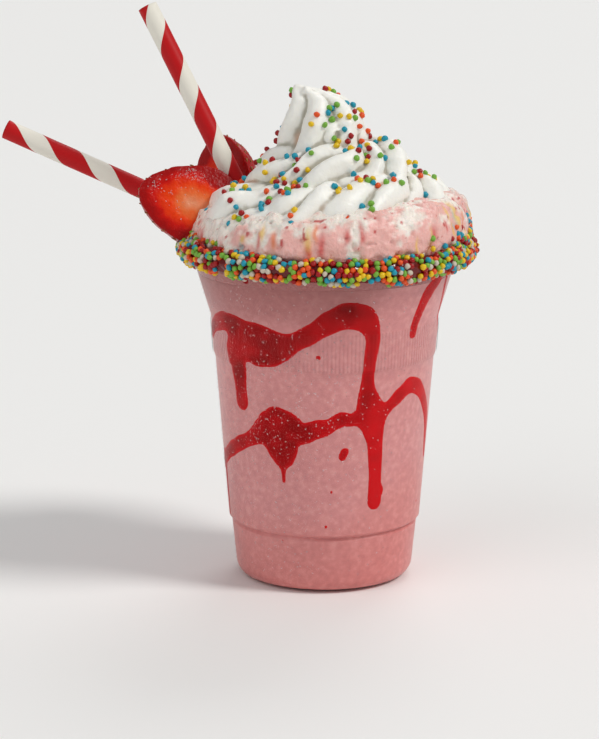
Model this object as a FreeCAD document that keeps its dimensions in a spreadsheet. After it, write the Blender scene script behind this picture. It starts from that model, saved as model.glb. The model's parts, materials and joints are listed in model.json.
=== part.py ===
import FreeCAD, Part
import math
import os
import random
import re
from types import SimpleNamespace

import Sketcher
from FreeCAD import Placement, Rotation, Vector

# Strawberry milkshake in a clear thin-walled take-away cup: the drink, the pink froth that
# bulges over the lip, a piped mound of whipped cream, a lip coated in sauce and sugar beads,
# two paper straws and two halved strawberries. Millimetres, +Z up; the origin is the centre
# of the ring that the cup stands on.

# Driving sizes. Each is written once here and becomes an aliased cell of the sheet.
SIZES = {
    # cup: a foot ring, a stacking groove, a proud ribbed belt, a flared neck, a rolled lip
    "cup_height": 121.0,
    "wall": 0.5,
    "base_diameter": 64.8,
    "heel_radius": 5.0,
    "foot_height": 2.4,
    "foot_land": 1.4,
    "foot_slope": 3.0,
    "groove_height": 21.6,
    "groove_half_gap": 1.1,
    "groove_depth": 0.6,
    "groove_lower_diameter": 69.0,
    "groove_upper_diameter": 71.2,
    "belt_diameter": 80.8,
    "belt_height": 15.0,
    "belt_proud": 0.6,
    "shoulder_drop": 23.0,
    "shoulder_diameter": 83.9,
    "neck_diameter": 96.0,
    "lip_roll": 1.3,
    "lip_depth": 3.0,
    "lip_round": 0.8,
    # drink and froth
    "drink_drop": 7.0,
    "froth_rise": 14.0,
    "froth_bulge": 2.0,
    "froth_top_inset": 1.8,
    "froth_shift": 2.2,
    "froth_lump": 0.7,
    # straws: a long one that stands in the drink and one that lies over the lip
    "straw_diameter": 7.3,
    "straw_wall": 0.45,
    "tall_straw_length": 195.0,
    "tall_straw_below_lip": 97.0,
    "tall_straw_x": -20.2,
    "tall_straw_y": 8.0,
    "tall_straw_lean": 29.1,
    "tall_straw_heading": 158.0,
    "low_straw_length": 150.0,
    "low_straw_inside_lip": 59.0,
    "low_straw_bearing": 140.8,
    "low_straw_lean": 67.0,
    "low_straw_heading": 174.0,
    # halved strawberries: fullness of the shoulder, length, width, place of the tip
    "berry_taper": 0.28,
    "front_berry_length": 38.0,
    "front_berry_width": 32.0,
    "front_berry_bearing": 177.85,
    "front_berry_overhang": 20.6,
    "front_berry_rise": 20.8,
    "back_berry_length": 30.0,
    "back_berry_width": 27.0,
    "back_berry_bearing": 140.7,
    "back_berry_overhang": 5.65,
    "back_berry_rise": 33.3,
    # whipped cream: heights above the froth, radii and sideways shifts of its tiers
    "cream_ridges": 7.0,
    "cream_groove": 0.16,
    "cream_twist": 95.0,
    "foot_shift": 3.5,
    "low_tier_rise": 9.0,
    "low_tier_radius": 40.0,
    "tier_step": 3.5,
    "middle_tier_rise": 23.0,
    "middle_tier_radius": 32.5,
    "middle_tier_shift": 3.8,
    "upper_tier_rise": 43.0,
    "upper_tier_radius": 17.0,
    "upper_tier_shift": -0.5,
    "peak_rise": 47.0,
    "peak_radius": 3.0,
    "peak_shift": -8.5,
    # sauce and beads on the lip
    "coating_radius": 5.1,
    "coating_reach": 0.5,
    "coating_drop": 0.8,
    "coating_lump": 0.6,
}

SHEET = "Sizes"
SEED = 5

# Directions: from a berry's tip to its shoulder, and outward from its cut face.
FRONT_BERRY_AXIS = Vector(0.96, 0.10, -0.27)
FRONT_BERRY_CUT = Vector(0.22, -0.90, 0.38)
BACK_BERRY_AXIS = Vector(0.12, -0.30, -0.95)
BACK_BERRY_CUT = Vector(-0.60, -0.74, 0.16)


def make_sheet(doc):
    """The spreadsheet of driving sizes, one aliased cell each, and the same values to read."""
    sheet = doc.addObject("Spreadsheet::Sheet", SHEET)
    for row, (alias, value) in enumerate(SIZES.items(), start=1):
        sheet.set(f"A{row}", alias)
        sheet.set(f"B{row}", str(value))
        sheet.setAlias(f"B{row}", alias)
    doc.recompute()
    return SimpleNamespace(**{alias: float(sheet.get(alias)) for alias in SIZES})


def bound(formula):
    """The formula with every size's name pointed at its cell of the sheet."""
    return re.sub(r"[a-z][a-z_]+", lambda word: f"{SHEET}.{word.group()}", formula)


def plane_of(body, role):
    """One of the body's own origin planes."""
    return next(item for item in body.Origin.OriginFeatures if item.Role == role)


def turned_profile(doc, name, corners):
    """A body turned about Z from a closed outline whose corners are pairs of formulas."""
    body = doc.addObject("PartDesign::Body", name)
    sketch = body.newObject("Sketcher::SketchObject", f"{name}_outline")
    sketch.AttachmentSupport = [(plane_of(body, "XZ_Plane"), "")]
    sketch.MapMode = "FlatFace"
    count = len(corners)
    spots = []
    for step in range(count):
        turn = 2 * math.pi * step / count
        spots.append(Vector(50 - 20 * math.cos(turn), 50 - 20 * math.sin(turn), 0))
    for step in range(count):
        line = Part.LineSegment(spots[step], spots[(step + 1) % count])
        sketch.addGeometry(line, False)
    for step in range(count):
        sketch.addConstraint(Sketcher.Constraint("Coincident", step, 2, (step + 1) % count, 1))
    for step, (across, up) in enumerate(corners):
        for kind, formula, value in (("X", across, spots[step].x), ("Y", up, spots[step].y)):
            index = sketch.addConstraint(
                Sketcher.Constraint(f"Distance{kind}", -1, 1, step, 1, value))
            sketch.renameConstraint(index, f"{kind.lower()}_{step}")
            sketch.setExpression(f"Constraints.{kind.lower()}_{step}", bound(formula))
    turn = body.newObject("PartDesign::Revolution", f"{name}_turned")
    turn.Profile = sketch
    turn.ReferenceAxis = (sketch, ["V_Axis"])
    turn.Angle = 360
    sketch.Visibility = False
    doc.recompute()
    return body


def round_rings(doc, body, name, rings, radius_formula):
    """A fillet on the body's circular edges with the given (radius, height) pairs."""
    tip = body.Tip
    chosen = []
    for number, edge in enumerate(tip.Shape.Edges, start=1):
        if not isinstance(edge.Curve, Part.Circle):
            continue
        for radius, height in rings:
            near = abs(edge.Curve.Radius - radius) + abs(edge.Curve.Center.z - height)
            if near < 0.01:
                chosen.append(f"Edge{number}")
    if len(chosen) != len(rings):
        raise RuntimeError(f"{name}: found {len(chosen)} of {len(rings)} rings")
    fillet = body.newObject("PartDesign::Fillet", name)
    fillet.Base = (tip, chosen)
    fillet.setExpression("Radius", bound(radius_formula))
    doc.recompute()


# Radii of the foot ring's inner side, where it meets the ground and where its slope ends.
FOOT_RING = "base_diameter / 2 - heel_radius - foot_land"
FOOT_EDGE = f"{FOOT_RING} - foot_slope"

# The cup's outside from heel to lip, as (radius, height) formulas.
CUP_SIDE = [
    ("groove_lower_diameter / 2", "groove_height - groove_half_gap"),
    ("groove_lower_diameter / 2 - groove_depth", "groove_height"),
    ("groove_upper_diameter / 2", "groove_height + groove_half_gap"),
    ("belt_diameter / 2", "cup_height - shoulder_drop - belt_height"),
    ("belt_diameter / 2 + belt_proud", "cup_height - shoulder_drop - belt_height + belt_proud"),
    ("shoulder_diameter / 2", "cup_height - shoulder_drop"),
]
CUP_INSIDE = [(f"{across} - wall", up) for across, up in CUP_SIDE]
CUP_FLOOR = [
    ("0", "foot_height + wall"),
    (FOOT_EDGE, "foot_height + wall"),
    (FOOT_RING, "wall"),
    ("base_diameter / 2 - wall", "wall"),
]


def flare_radius(size, height):
    """The cup's inner radius at a height between its shoulder and the foot of its lip."""
    low = size.cup_height - size.shoulder_drop
    high = size.cup_height - size.lip_depth
    share = (height - low) / (high - low)
    outer = size.shoulder_diameter + share * (size.neck_diameter - size.shoulder_diameter)
    return outer / 2 - size.wall


def make_cup(doc, size):
    """The clear cup: one thin wall turned about Z, with a rolled lip and a raised floor."""
    under = [
        ("0", "foot_height"),
        (FOOT_EDGE, "foot_height"),
        (FOOT_RING, "0"),
        ("base_diameter / 2", "0"),
    ]
    lip = [
        ("neck_diameter / 2", "cup_height - lip_depth"),
        ("neck_diameter / 2 + lip_roll", "cup_height - lip_depth"),
        ("neck_diameter / 2 + lip_roll", "cup_height"),
        ("neck_diameter / 2 - wall", "cup_height"),
        ("neck_diameter / 2 - wall", "cup_height - lip_depth"),
    ]
    inside = list(reversed(CUP_FLOOR + CUP_INSIDE))
    body = turned_profile(doc, "cup", under + CUP_SIDE + lip + inside)
    heel = size.base_diameter / 2
    round_rings(doc, body, "heel_outside", [(heel, 0)], "heel_radius")
    round_rings(doc, body, "heel_inside", [(heel - size.wall, size.wall)], "heel_radius - wall")
    lip_radius = size.neck_diameter / 2 + size.lip_roll
    rings = [(lip_radius, size.cup_height), (lip_radius, size.cup_height - size.lip_depth)]
    round_rings(doc, body, "lip_rounding", rings, "lip_round")
    return body


def make_drink(doc, size):
    """The drink as poured: it fills the cup's inside up to its level."""
    share = "(shoulder_drop - drink_drop) / (shoulder_drop - lip_depth)"
    rim = f"shoulder_diameter / 2 + (neck_diameter - shoulder_diameter) / 2 * {share} - wall"
    top = [(rim, "cup_height - drink_drop"), ("0", "cup_height - drink_drop")]
    body = turned_profile(doc, "poured_drink", CUP_FLOOR + CUP_INSIDE + top)
    heel = size.base_diameter / 2 - size.wall
    round_rings(doc, body, "drink_heel", [(heel, size.wall)], "heel_radius - wall")
    return body


def heading(lean, azimuth):
    """The unit direction that leans from +Z by the first angle towards the second one."""
    tilt, turn = math.radians(lean), math.radians(azimuth)
    flat = math.sin(tilt)
    return Vector(flat * math.cos(turn), flat * math.sin(turn), math.cos(tilt))


def over_lip(size, bearing, overhang, height):
    """The point at a bearing round the cup, so far outside its neck and at that height."""
    turn = math.radians(bearing)
    radius = size.neck_diameter / 2 + overhang
    return Vector(radius * math.cos(turn), radius * math.sin(turn), height)


def straw_place(point, direction, buried):
    """A placement whose origin is the straw's lower end and whose Z runs up the straw."""
    return Placement(point - direction * buried, Rotation(Vector(0, 0, 1), direction))


def make_straw(doc, name, length_alias, place):
    """A paper straw: two concentric circles padded to the straw's length."""
    body = doc.addObject("PartDesign::Body", name)
    sketch = body.newObject("Sketcher::SketchObject", f"{name}_ring")
    sketch.AttachmentSupport = [(plane_of(body, "XY_Plane"), "")]
    sketch.MapMode = "FlatFace"
    formulas = (("outer", "straw_diameter"), ("inner", "straw_diameter - 2 * straw_wall"))
    for number, (label, formula) in enumerate(formulas):
        sketch.addGeometry(Part.Circle(Vector(0, 0, 0), Vector(0, 0, 1), 5 - number), False)
        sketch.addConstraint(Sketcher.Constraint("Coincident", number, 3, -1, 1))
        index = sketch.addConstraint(Sketcher.Constraint("Diameter", number, 10 - 2 * number))
        sketch.renameConstraint(index, label)
        sketch.setExpression(f"Constraints.{label}", bound(formula))
    pad = body.newObject("PartDesign::Pad", f"{name}_pad")
    pad.Profile = sketch
    pad.setExpression("Length", bound(length_alias))
    sketch.Visibility = False
    body.Placement = place
    return body


def make_straw_space(doc, name, length_alias, place):
    """The room that a straw takes up in what it is pushed into, its bore included."""
    room = doc.addObject("Part::Cylinder", name)
    room.setExpression("Radius", bound("straw_diameter / 2"))
    room.setExpression("Height", bound(length_alias))
    room.Placement = place
    return room


def half_berry(length, width, taper):
    """Half of a strawberry, tip at the origin, shoulder along +X, cut face on Z = 0.

    The radius is a half sine of the way from tip to shoulder, made fuller at the shoulder.
    """
    steps = 10
    outline = []
    for step in range(steps + 1):
        turn = math.pi * step / steps
        radius = width / 2 * math.sin(turn) * (1 - taper * math.cos(turn))
        outline.append(Vector(length / 2 * (1 - math.cos(turn)), radius, 0))
    outline[-1].y = 0
    curve = Part.BSplineCurve()
    curve.interpolate(Points=outline)
    core = Part.makeLine(outline[-1], outline[0])
    face = Part.Face(Part.Wire([curve.toShape(), core]))
    return face.revolve(Vector(0, 0, 0), Vector(1, 0, 0), 180)


def make_berry(doc, name, shape, tip, axis, cut):
    """A halved strawberry laid with its tip, long axis and cut face as given."""
    berry = doc.addObject("Part::Feature", name)
    berry.Shape = shape
    inward = -cut
    berry.Placement = Placement(tip, Rotation(axis, inward.cross(axis), inward, "XZY"))
    return berry


def ring_wire(height, middle, radius_at, count):
    """A closed smooth outline at a height; radius_at gives the radius for each angle."""
    points = []
    for step in range(count):
        turn = 2 * math.pi * step / count
        radius = radius_at(turn)
        points.append(Vector(middle + radius * math.cos(turn), radius * math.sin(turn), height))
    curve = Part.BSplineCurve()
    curve.interpolate(Points=points, PeriodicFlag=True)
    return Part.Wire([curve.toShape()])


def make_froth(doc, size):
    """The froth: a plug in the cup's neck and a lumpy bulge that rests on the lip."""
    level = size.cup_height - size.drink_drop
    neck_foot = size.cup_height - size.lip_depth
    neck = size.neck_diameter / 2 - size.wall
    outline = [
        Vector(0, 0, level),
        Vector(flare_radius(size, level), 0, level),
        Vector(neck, 0, neck_foot),
        Vector(neck, 0, size.cup_height),
        Vector(0, 0, size.cup_height),
    ]
    plug = Part.Face(Part.makePolygon(outline + outline[:1]))
    plug = plug.revolve(Vector(0, 0, 0), Vector(0, 0, 1), 360)
    chance = random.Random(SEED)
    lip = size.neck_diameter / 2 + size.lip_roll
    top = lip - size.froth_top_inset
    stages = [
        (0.0, lip - size.lip_round, 0.0, 0.0),
        (0.2, lip, 0.5, 1.0),
        (0.5, lip + size.froth_bulge - size.froth_lump, 0.8, 1.0),
        (0.8, lip + size.froth_bulge / 2 - size.froth_lump, 1.0, 1.0),
        (1.0, top, 1.0, 0.3),
    ]
    wires = []
    for share, radius, shift, lump in stages:
        wires.append(ring_wire(
            size.cup_height + share * size.froth_rise,
            shift * size.froth_shift,
            lambda turn: radius + lump * size.froth_lump * chance.uniform(-1, 1),
            count=30))
    bulge = Part.makeLoft(wires, True, True)
    froth = doc.addObject("Part::Feature", "raised_froth")
    froth.Shape = plug.fuse(bulge)
    return froth


def eased(stages, height):
    """The radius and shift at a height, eased between the stages on either side of it."""
    for (low, *below), (high, *above) in zip(stages, stages[1:]):
        if height <= high:
            share = (height - low) / (high - low)
            share = share * share * (3 - 2 * share)
            return [start + share * (end - start) for start, end in zip(below, above)]
    return stages[-1][1:]


def make_cream(doc, size):
    """The piped cream: star-shaped outlines that shrink in tiers and twist as they rise."""
    foot = size.cup_height + size.froth_rise
    foot_radius = size.neck_diameter / 2 + size.lip_roll - size.froth_top_inset
    low, middle, upper = size.low_tier_rise, size.middle_tier_rise, size.upper_tier_rise
    stages = [
        (0, foot_radius, size.foot_shift),
        (low / 2, foot_radius, size.foot_shift),
        (low, size.low_tier_radius, size.foot_shift),
        (low + size.tier_step, size.middle_tier_radius, size.middle_tier_shift),
        (middle - size.tier_step, size.middle_tier_radius, size.middle_tier_shift),
        (middle + size.tier_step, size.upper_tier_radius, size.upper_tier_shift),
        (upper - size.tier_step, size.upper_tier_radius, size.upper_tier_shift),
        (size.peak_rise, size.peak_radius, size.peak_shift),
    ]
    ridges = round(size.cream_ridges)
    rings = 22
    wires = []
    for step in range(rings + 1):
        rise = size.peak_rise * step / rings
        radius, shift = eased(stages, rise)
        twist = math.radians(size.cream_twist) * step / rings

        def ridge(turn):
            wave = 0.5 - 0.5 * math.cos(ridges * (turn - twist))
            return radius * (1 - size.cream_groove * wave)

        wires.append(ring_wire(foot + rise, shift, ridge, count=6 * ridges))
    cream = doc.addObject("Part::Feature", "piped_cream")
    cream.Shape = Part.makeLoft(wires, True, True)
    return cream


def make_coating(doc, size):
    """The sauce and beads on the lip: a ring of round, uneven sections laid round it."""
    chance = random.Random(SEED + 1)
    count = 36
    middle = size.neck_diameter / 2 + size.lip_roll + size.coating_reach
    height = size.cup_height - size.coating_drop
    wires = []
    for step in range(count):
        turn = 360 * step / count
        radius = size.coating_radius - size.coating_lump * chance.uniform(0, 1)
        out = Rotation(Vector(0, 0, 1), turn)
        centre = out.multVec(Vector(middle, 0, height))
        circle = Part.Circle(centre, out.multVec(Vector(0, 1, 0)), radius)
        wires.append(Part.Wire([circle.toShape()]))
    ring = doc.addObject("Part::Feature", "raised_coating")
    ring.Shape = Part.makeLoft(wires, True, False, True)
    return ring


def cut_round(doc, name, base, tools):
    """The base with the room of each of the tools taken out of it, one after another."""
    for tool in tools:
        cut = doc.addObject("Part::Cut", f"{name}_less_{tool.Name}")
        cut.Base = base
        cut.Tool = tool
        base = cut
    base.Label = name
    return base


def check(doc, parts):
    """Stop unless every object is computed and every sub-part is one valid solid."""
    for item in doc.Objects:
        if "Invalid" in item.State or "Error" in item.State:
            raise RuntimeError(f"{item.Name} is {item.State}")
    for part in parts:
        shape = part.Shape
        if shape.isNull() or not shape.isValid() or shape.Volume <= 0:
            raise RuntimeError(f"{part.Label} has no valid shape")
        if len(shape.Solids) != 1:
            raise RuntimeError(f"{part.Label} has {len(shape.Solids)} solids")


doc = FreeCAD.newDocument("milkshake")
size = make_sheet(doc)

cup = make_cup(doc, size)
drink = make_drink(doc, size)

tall_foot = Vector(size.tall_straw_x, size.tall_straw_y, size.cup_height)
tall_place = straw_place(
    tall_foot, heading(size.tall_straw_lean, size.tall_straw_heading), size.tall_straw_below_lip)
lip_clear = size.straw_diameter / 2 / math.sin(math.radians(size.low_straw_lean))
low_foot = over_lip(
    size, size.low_straw_bearing, -size.wall, size.cup_height + lip_clear)
low_place = straw_place(
    low_foot, heading(size.low_straw_lean, size.low_straw_heading), size.low_straw_inside_lip)
straws = [
    make_straw(doc, "straw_tall", "tall_straw_length", tall_place),
    make_straw(doc, "straw_low", "low_straw_length", low_place),
]
straw_rooms = [
    make_straw_space(doc, "tall_straw_room", "tall_straw_length", tall_place),
    make_straw_space(doc, "low_straw_room", "low_straw_length", low_place),
]

# The front berry leans on the tall straw and the back one lies over the low straw.
front_tip = over_lip(
    size, size.front_berry_bearing, size.front_berry_overhang,
    size.cup_height + size.front_berry_rise)
front_tip += FRONT_BERRY_CUT.normalize() * size.straw_diameter
front_shape = half_berry(size.front_berry_length, size.front_berry_width, size.berry_taper)
back_tip = over_lip(
    size, size.back_berry_bearing, size.back_berry_overhang,
    size.cup_height + size.straw_diameter + size.back_berry_rise)
back_shape = half_berry(size.back_berry_length, size.back_berry_width, size.berry_taper)
berries = [
    make_berry(doc, "strawberry_front", front_shape, front_tip,
               FRONT_BERRY_AXIS, FRONT_BERRY_CUT),
    make_berry(doc, "strawberry_back", back_shape, back_tip,
               BACK_BERRY_AXIS, BACK_BERRY_CUT),
]

milkshake = cut_round(doc, "milkshake", drink, straw_rooms)
raised_froth = make_froth(doc, size)
froth = cut_round(doc, "froth", raised_froth, straw_rooms + berries)
cream = cut_round(doc, "whipped_cream", make_cream(doc, size), straw_rooms + berries)
coating = cut_round(
    doc, "rim_coating", make_coating(doc, size), [cup, raised_froth, straw_rooms[1], berries[0]])

doc.recompute()
parts = [cup, milkshake, froth, cream, coating, *straws, *berries]
check(doc, parts)
os.makedirs("parts", exist_ok=True)
for part in parts:
    part.Shape.exportStep(f"parts/{part.Label}.step")
    print(part.Label, round(part.Shape.Volume), "mm3")
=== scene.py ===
import json
import math
from itertools import combinations

import bpy
import numpy as np
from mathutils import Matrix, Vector
from mathutils.bvhtree import BVHTree

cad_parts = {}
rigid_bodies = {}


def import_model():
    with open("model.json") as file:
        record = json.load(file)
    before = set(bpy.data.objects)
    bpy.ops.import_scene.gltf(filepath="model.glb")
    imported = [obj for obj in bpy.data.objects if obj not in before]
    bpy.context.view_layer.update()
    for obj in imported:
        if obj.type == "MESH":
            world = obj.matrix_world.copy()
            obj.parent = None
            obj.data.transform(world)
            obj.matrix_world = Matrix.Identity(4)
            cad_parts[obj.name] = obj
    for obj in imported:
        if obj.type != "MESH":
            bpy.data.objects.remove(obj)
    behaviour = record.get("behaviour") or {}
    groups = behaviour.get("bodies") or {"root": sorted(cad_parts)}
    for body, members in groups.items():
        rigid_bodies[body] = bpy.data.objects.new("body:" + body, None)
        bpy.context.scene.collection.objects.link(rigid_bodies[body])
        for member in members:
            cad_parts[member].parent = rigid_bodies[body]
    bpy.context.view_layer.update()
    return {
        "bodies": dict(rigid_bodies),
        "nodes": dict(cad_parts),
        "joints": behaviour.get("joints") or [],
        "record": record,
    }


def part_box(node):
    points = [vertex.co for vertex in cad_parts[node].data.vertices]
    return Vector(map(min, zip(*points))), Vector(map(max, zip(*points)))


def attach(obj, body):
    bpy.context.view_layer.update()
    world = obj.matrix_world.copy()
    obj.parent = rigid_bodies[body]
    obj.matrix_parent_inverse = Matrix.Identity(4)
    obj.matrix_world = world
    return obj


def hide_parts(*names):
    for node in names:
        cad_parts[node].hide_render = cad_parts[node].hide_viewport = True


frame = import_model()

# ---- Camera and room ---------------------------------------------------------------------
# The drink stands on a pale table top in a pale room, seen from a little above its lip, with
# a large soft lamp up to the right, a weak one to the left and one behind.
MM = 0.001


def tint(red, green, blue):
    """A linear colour from 0 to 255 screen values: the screen curve undone for each of them."""
    screen = np.array([red, green, blue]) / 255
    linear = np.where(screen <= 0.04045, screen / 12.92, ((screen + 0.055) / 1.055) ** 2.4)
    return (*linear.tolist(), 1.0)


def new_material(name, **sockets):
    """A material of one Principled shader; sockets are its plain values, spaces as underscores."""
    material = bpy.data.materials.new(name)
    material.use_nodes = True
    shader = material.node_tree.nodes["Principled BSDF"]
    for socket, value in sockets.items():
        shader.inputs[socket.replace("_", " ")].default_value = value
    return material, shader


camera = bpy.data.objects.new("camera", bpy.data.cameras.new("camera"))
camera.location = (0, -0.9, 0.2694)
camera.rotation_euler = (math.radians(90 - 12.1), 0, math.radians(0.585))
camera.data.lens = 121.8
camera.data.sensor_width = 36
camera.data.clip_start = 0.01
camera.data.clip_end = 60
bpy.context.scene.collection.objects.link(camera)
bpy.context.scene.camera = camera


def add_lamp(name, toward, strength, spread, colour=(1, 1, 1)):
    """A far lamp that shines from one direction towards the drink; spread is its angular size."""
    lamp = bpy.data.objects.new(name, bpy.data.lights.new(name, "SUN"))
    lamp.data.angle = math.radians(spread)
    lamp.data.energy = strength
    lamp.data.color = colour
    lamp.rotation_euler = Vector(toward).to_track_quat("Z", "Y").to_euler()
    bpy.context.scene.collection.objects.link(lamp)


add_lamp("key_lamp", (0.85, -0.33, 0.95), 1.6, 16, (1, 0.985, 0.96))
add_lamp("fill_lamp", (-0.8, -0.75, 0.8), 0.5, 50)
add_lamp("back_lamp", (0.3, 0.9, 0.9), 0.5, 30)
room = bpy.data.worlds.new("room")
room.use_nodes = True
room.node_tree.nodes["Background"].inputs["Color"].default_value = (1, 1, 1, 1)
room.node_tree.nodes["Background"].inputs["Strength"].default_value = 0.34
bpy.context.scene.world = room
bpy.context.scene.view_settings.view_transform = "Standard"

floor_mesh = bpy.data.meshes.new("floor")
floor_mesh.from_pydata([(-9, -9, 0), (9, -9, 0), (9, 9, 0), (-9, 9, 0)], [], [(0, 1, 2, 3)])
floor = bpy.data.objects.new("floor", floor_mesh)
bpy.context.scene.collection.objects.link(floor)
floor_paint, _ = new_material("floor_paint", Base_Color=tint(247, 247, 246), Roughness=0.7)
floor_mesh.materials.append(floor_paint)

# ---- Clear cup ---------------------------------------------------------------------------
# A thin take-away cup moulded in one piece from clear plastic: a foot ring, a stacking groove,
# a proud belt of fine upright flutes, a flared neck and a lip rolled outwards.
LIP_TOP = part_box("cup")[1].z
WALL = 0.5 * MM
HEEL = 5 * MM
SIDE_HEIGHTS = np.array([0, 20.5, 21.6, 22.7, 83, 83.6, 98, 118]) * MM
SIDE_RADII = np.array([32.4, 34.5, 33.9, 35.6, 40.4, 41.0, 41.95, 48.0]) * MM
LIP_FOOT, NECK = SIDE_HEIGHTS[-1], SIDE_RADII[-1]
LIP_REACH, LIP_HALF = 1.2 * MM, 1.5 * MM
CUP_STEPS = 240


def side_radius(height):
    """The cup's outer radius: straight tapers between its steps, and a round heel below."""
    straight = np.interp(height, SIDE_HEIGHTS, SIDE_RADII)
    below = np.clip(HEEL - height, 0, HEEL)
    return straight - HEEL + np.sqrt(HEEL**2 - below**2)


def grid_faces(rows, columns, wrap_rows=False, wrap_columns=False):
    """The quads between neighbours in a grid of points; a wrapped side meets its own start."""
    down = np.arange(rows if wrap_rows else rows - 1)
    along = np.arange(columns if wrap_columns else columns - 1)
    row, column = np.meshgrid(down, along, indexing="ij")
    below, right = (row + 1) % rows, (column + 1) % columns
    corners = [(row, column), (row, right), (below, right), (below, column)]
    return np.stack([r * columns + c for r, c in corners], -1).reshape(-1, 4)


def lay_mesh(name, points, faces, material, colours=None):
    """A smooth-shaded object at the origin from corner points and faces, put on its body."""
    mesh = bpy.data.meshes.new(name)
    mesh.from_pydata(np.asarray(points).tolist(), [], [list(face) for face in faces])
    mesh.polygons.foreach_set("use_smooth", np.ones(len(mesh.polygons), bool))
    if colours is not None:
        layer = mesh.color_attributes.new("stain", "FLOAT_COLOR", "POINT")
        shades = np.concatenate([colours, np.ones((len(colours), 1))], 1)
        layer.data.foreach_set("color", shades.astype(np.float32).ravel())
    mesh.materials.append(material)
    piece = bpy.data.objects.new(name, mesh)
    bpy.context.scene.collection.objects.link(piece)
    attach(piece, "root")
    return piece


def turned(radii, heights, count):
    """Points and faces of a profile carried round Z; its first and last points are on Z."""
    turn = np.linspace(0, 2 * np.pi, count, endpoint=False)
    rings = np.stack(np.broadcast_arrays(
        radii[1:-1, None] * np.cos(turn), radii[1:-1, None] * np.sin(turn),
        heights[1:-1, None]), -1)
    points = np.vstack([rings.reshape(-1, 3), [[0, 0, heights[0]], [0, 0, heights[-1]]]])
    step = np.arange(count)
    after = (step + 1) % count
    last = (len(radii) - 3) * count
    start = np.stack([np.full(count, len(points) - 2), after, step], -1)
    end = np.stack([np.full(count, len(points) - 1), last + step, last + after], -1)
    faces = grid_faces(len(radii) - 2, count, wrap_columns=True)
    return points, faces.tolist() + start.tolist() + end.tolist()


heel_rise = HEEL * (1 - np.cos(np.linspace(0, np.pi / 2, 9)))
groove = np.linspace(20.2, 23.0, 15) * MM
rise = np.unique(np.concatenate([
    heel_rise, np.linspace(6, 20, 8) * MM, groove, np.linspace(25, 83, 20) * MM,
    np.linspace(83.2, 98, 12) * MM, np.linspace(99.5, 118, 12) * MM]))
lip_turn = np.linspace(-np.pi / 2, np.pi / 2, 13)
lip_radii = NECK + 0.1 * MM + LIP_REACH * np.sign(np.cos(lip_turn)) * np.cos(lip_turn) ** 0.6
lip_heights = (LIP_FOOT + LIP_TOP) / 2 + LIP_HALF * np.sin(lip_turn)
inner_rise = rise[rise > 3 * MM][::-1]
cup_radii = np.concatenate([
    np.array([0, 12, 22, 23, 25.9]) * MM, side_radius(rise), lip_radii,
    side_radius(inner_rise) - WALL, np.array([26, 23, 12, 0]) * MM])
cup_heights = np.concatenate([
    np.array([2.4, 2.4, 2.4, 2.3, 0.1]) * MM, rise, lip_heights, inner_rise,
    np.array([0.6, 2.8, 2.9, 2.9]) * MM])

cup_plastic, _ = new_material(
    "clear_cup_plastic", Base_Color=tint(150, 128, 128), Roughness=0.24, IOR=1.5, Alpha=0.02)
points, faces = turned(cup_radii, cup_heights, CUP_STEPS)
cup_wall = lay_mesh("cup_wall", points, faces, cup_plastic)
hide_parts("cup")

FLUTES, FLUTE_STEPS = 180, 8
FLUTE_DEPTH, FLUTE_ROOT, FLUTE_BACK = 0.2 * MM, 0.04 * MM, 0.25 * MM
BELT_MIDDLE, BELT_HALF = 90.5 * MM, 6.9 * MM
turn = np.linspace(0, 2 * np.pi, FLUTES * FLUTE_STEPS, endpoint=False)
belt_rows = np.array([83.9, 84.4, 85.2, 88, 92, 95.5, 96.6, 97.2]) * MM
swell = np.array([0, 0.6, 1, 1, 1, 1, 0.6, 0])
crest = 0.5 + 0.5 * np.cos(FLUTES * turn)
belt_radius = side_radius(belt_rows)[:, None] - FLUTE_ROOT + FLUTE_DEPTH * swell[:, None] * crest
back_rows = belt_rows[::-1][[0, -1]]
back_radius = side_radius(back_rows)[:, None] - FLUTE_BACK + 0 * crest
ring_radius = np.vstack([belt_radius, back_radius])
ring_height = np.concatenate([belt_rows, back_rows])[:, None] + 0 * crest
points = np.stack([ring_radius * np.cos(turn), ring_radius * np.sin(turn), ring_height], -1)
faces = grid_faces(len(points), len(turn), wrap_rows=True, wrap_columns=True)
lay_mesh("cup_flutes", points.reshape(-1, 3), faces, cup_plastic)

# ---- The drink ---------------------------------------------------------------------------
# Thick strawberry milkshake, poured to just under the lip. It wets the plastic all over, so
# its surface lies a little way inside the cup's wall.
WETTING = 0.2 * MM
DRINK_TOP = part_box("milkshake")[1].z
EDGE = 0.05 * MM
drink_rise = rise[(rise > 1 * MM) & (rise < DRINK_TOP - 1 * MM)]
drink_rise = np.append(drink_rise, [DRINK_TOP - EDGE, DRINK_TOP])
drink_radii = np.concatenate([
    np.array([0, 22, 26]) * MM, side_radius(drink_rise) - WALL + WETTING, [0]])
drink_heights = np.concatenate([np.array([2.7, 2.7, 0.4]) * MM, drink_rise, [DRINK_TOP]])
drink_paint, drink_shader = new_material(
    "strawberry_milkshake", Roughness=0.36,
    Subsurface_Weight=0.15, Subsurface_Radius=(0.004, 0.002, 0.0015), Subsurface_Scale=1.0)


def add_noise(material, size, detail=3.0):
    """A noise node whose patches are about this many metres across, on Object coordinates."""
    nodes, links = material.node_tree.nodes, material.node_tree.links
    noise = nodes.new("ShaderNodeTexNoise")
    noise.inputs["Scale"].default_value = 1 / size
    noise.inputs["Detail"].default_value = detail
    place = nodes.new("ShaderNodeTexCoord")
    links.new(place.outputs["Object"], noise.inputs["Vector"])
    return noise.outputs["Fac"]


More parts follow.
